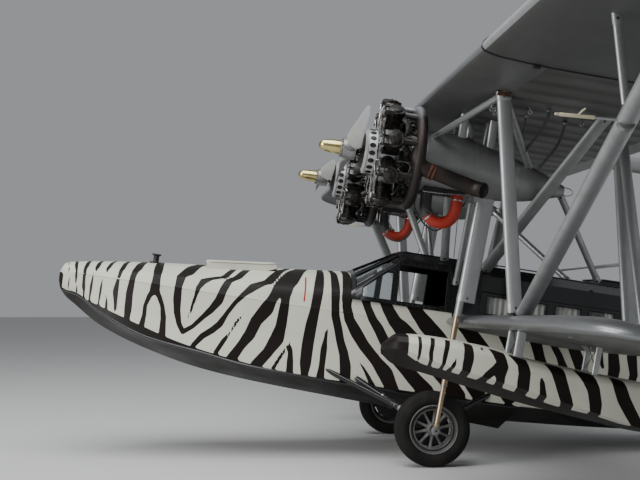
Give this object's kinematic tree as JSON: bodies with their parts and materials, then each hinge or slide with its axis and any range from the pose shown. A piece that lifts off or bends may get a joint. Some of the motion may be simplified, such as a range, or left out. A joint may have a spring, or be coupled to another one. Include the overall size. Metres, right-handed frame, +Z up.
{
  "type": "twin-engined amphibious flying boat",
  "caption": "Sesquiplane amphibious flying boat with a decked hull, wing floats, radial engines slung below the upper wing, twin tail booms and wheeled gear.",
  "frame": {"origin": "on the ground, under the middle of the whole aircraft's bounding box, standing on its three wheels", "axes": "+X towards the tail, +Y to starboard along the span, +Z up; the airframe sits eight degrees nose up"},
  "size_m": [12.6307, 21.84, 4.0589],
  "materials": {
    "hull_paint": "satin",
    "black_paint": "gloss",
    "window_glass": "gloss",
    "seat_cover": "matte",
    "control_metal": "satin",
    "silver_dope": "satin",
    "silver_sheet": "satin",
    "strut_paint": "satin",
    "engine_castings": "satin",
    "burnt_steel": "satin",
    "hose_rubber": "satin",
    "propeller_metal": "gloss",
    "gear_steel": "satin",
    "steel_fittings": "satin",
    "tyre_rubber": "matte",
    "wheel_alloy": "satin"
  },
  "bodies": {
    "airframe": {"hull": "hull_paint", "bow_bollard": "steel_fittings", "cockpit_frame": "black_paint", "cabin_walls": "hull_paint", "cabin_roof": "black_paint", "windscreen_glass": "window_glass", "pilot_seats": "seat_cover", "controls_and_panel": "control_metal", "cabin_seats": "seat_cover", "upper_wing_centre": "silver_dope", "upper_wing_starboard": "silver_dope", "upper_wing_port": "silver_dope", "lower_wing_starboard": "silver_dope", "lower_wing_port": "silver_dope", "float_starboard": "hull_paint", "float_port": "hull_paint", "engine_starboard": "engine_castings", "engine_port": "engine_castings", "nacelle_starboard": "silver_sheet", "nacelle_port": "silver_sheet", "exhaust_starboard": "burnt_steel", "exhaust_port": "burnt_steel", "intake_hose_starboard": "hose_rubber", "intake_hose_port": "hose_rubber", "main_strut_starboard": "strut_paint", "main_strut_port": "strut_paint", "inboard_strut_starboard": "strut_paint", "inboard_strut_port": "strut_paint", "front_strut_frame_starboard": "strut_paint", "front_strut_frame_port": "strut_paint", "outer_strut_starboard": "strut_paint", "outer_strut_port": "strut_paint", "rear_cabane_strut_starboard": "strut_paint", "rear_cabane_strut_port": "strut_paint", "rear_strut_frame_starboard": "strut_paint", "rear_strut_frame_port": "strut_paint", "nacelle_tail_strut_starboard": "strut_paint", "nacelle_tail_strut_port": "strut_paint", "landing_gear_leg_starboard": "gear_steel", "landing_gear_leg_port": "gear_steel", "tail_boom_starboard": "silver_dope", "tail_boom_port": "silver_dope", "tailplane_and_fins": "silver_dope", "tail_strut_starboard": "strut_paint", "tail_strut_port": "strut_paint"},
    "propeller_port": {"propeller_port": "propeller_metal"},
    "propeller_starboard": {"propeller_starboard": "propeller_metal"},
    "main_wheel_port": {"main_wheel_port": "wheel_alloy", "main_tyre_port": "tyre_rubber"},
    "main_wheel_starboard": {"main_wheel_starboard": "wheel_alloy", "main_tyre_starboard": "tyre_rubber"},
    "tail_fork": {"tail_fork": "steel_fittings"},
    "tail_wheel": {"tail_wheel": "tyre_rubber"},
    "aileron_port": {"aileron_port": "silver_dope"},
    "aileron_starboard": {"aileron_starboard": "silver_dope"},
    "elevator": {"elevator": "silver_dope"},
    "rudder_port": {"rudder_port": "silver_dope"},
    "rudder_starboard": {"rudder_starboard": "silver_dope"},
    "bow_hatch": {"bow_hatch": "hull_paint"},
    "cabin_hatch": {"cabin_hatch": "black_paint"}
  },
  "joints": [
    {"name": "propeller_port_spin", "type": "hinge", "parent": "airframe", "child": "propeller_port", "pos_m": [-3.1028, -1.45, 3.3412], "axis": [0.9903, 0, -0.1392], "continuous": true},
    {"name": "propeller_starboard_spin", "type": "hinge", "parent": "airframe", "child": "propeller_starboard", "pos_m": [-3.1028, 1.45, 3.3412], "axis": [0.9903, 0, -0.1392], "continuous": true},
    {"name": "main_wheel_port_roll", "type": "hinge", "parent": "airframe", "child": "main_wheel_port", "pos_m": [-2.2483, -1.43, 0.39658], "axis": [0, 1, 0], "continuous": true},
    {"name": "main_wheel_starboard_roll", "type": "hinge", "parent": "airframe", "child": "main_wheel_starboard", "pos_m": [-2.2483, 1.43, 0.39658], "axis": [0, 1, 0], "continuous": true},
    {"name": "tail_fork_swivel", "type": "hinge", "parent": "airframe", "child": "tail_fork", "pos_m": [2.6369, 0, 0.4], "axis": [0, 0, 1], "range_deg": [-60, 60]},
    {"name": "tail_wheel_roll", "type": "hinge", "parent": "tail_fork", "child": "tail_wheel", "pos_m": [2.7069, 0, 0.1231], "axis": [0, 1, 0], "continuous": true},
    {"name": "aileron_starboard_hinge", "type": "hinge", "parent": "airframe", "child": "aileron_starboard", "pos_m": [-0.3988, 8.275, 3.5243], "axis": [0, 1, 0], "range_deg": [-22, 22]},
    {"name": "aileron_port_hinge", "type": "hinge", "parent": "airframe", "child": "aileron_port", "pos_m": [-0.3988, -8.275, 3.5243], "axis": [0, 1, 0], "range_deg": [-22, 22]},
    {"name": "elevator_hinge", "type": "hinge", "parent": "airframe", "child": "elevator", "pos_m": [5.1025, 0, 3.0857], "axis": [0, 1, 0], "range_deg": [-25, 20]},
    {"name": "rudder_port_hinge", "type": "hinge", "parent": "airframe", "child": "rudder_port", "pos_m": [5.2492, -1.45, 3.5549], "axis": [0.1392, 0, 0.9903], "range_deg": [-25, 25]},
    {"name": "rudder_starboard_hinge", "type": "hinge", "parent": "airframe", "child": "rudder_starboard", "pos_m": [5.2492, 1.45, 3.5549], "axis": [0.1392, 0, 0.9903], "range_deg": [-25, 25]},
    {"name": "bow_hatch_hinge", "type": "hinge", "parent": "airframe", "child": "bow_hatch", "pos_m": [-3.8133, 0, 2.1568], "axis": [0, 1, 0], "range_deg": [0, 100]},
    {"name": "cabin_hatch_hinge", "type": "hinge", "parent": "airframe", "child": "cabin_hatch", "pos_m": [-0.0266, 0, 1.9849], "axis": [0, -1, 0], "range_deg": [0, 100]}
  ],
  "couplings": [
    {"joint": "aileron_port_hinge", "follows": "aileron_starboard_hinge", "ratio": -1},
    {"joint": "rudder_port_hinge", "follows": "rudder_starboard_hinge", "ratio": 1}
  ]
}
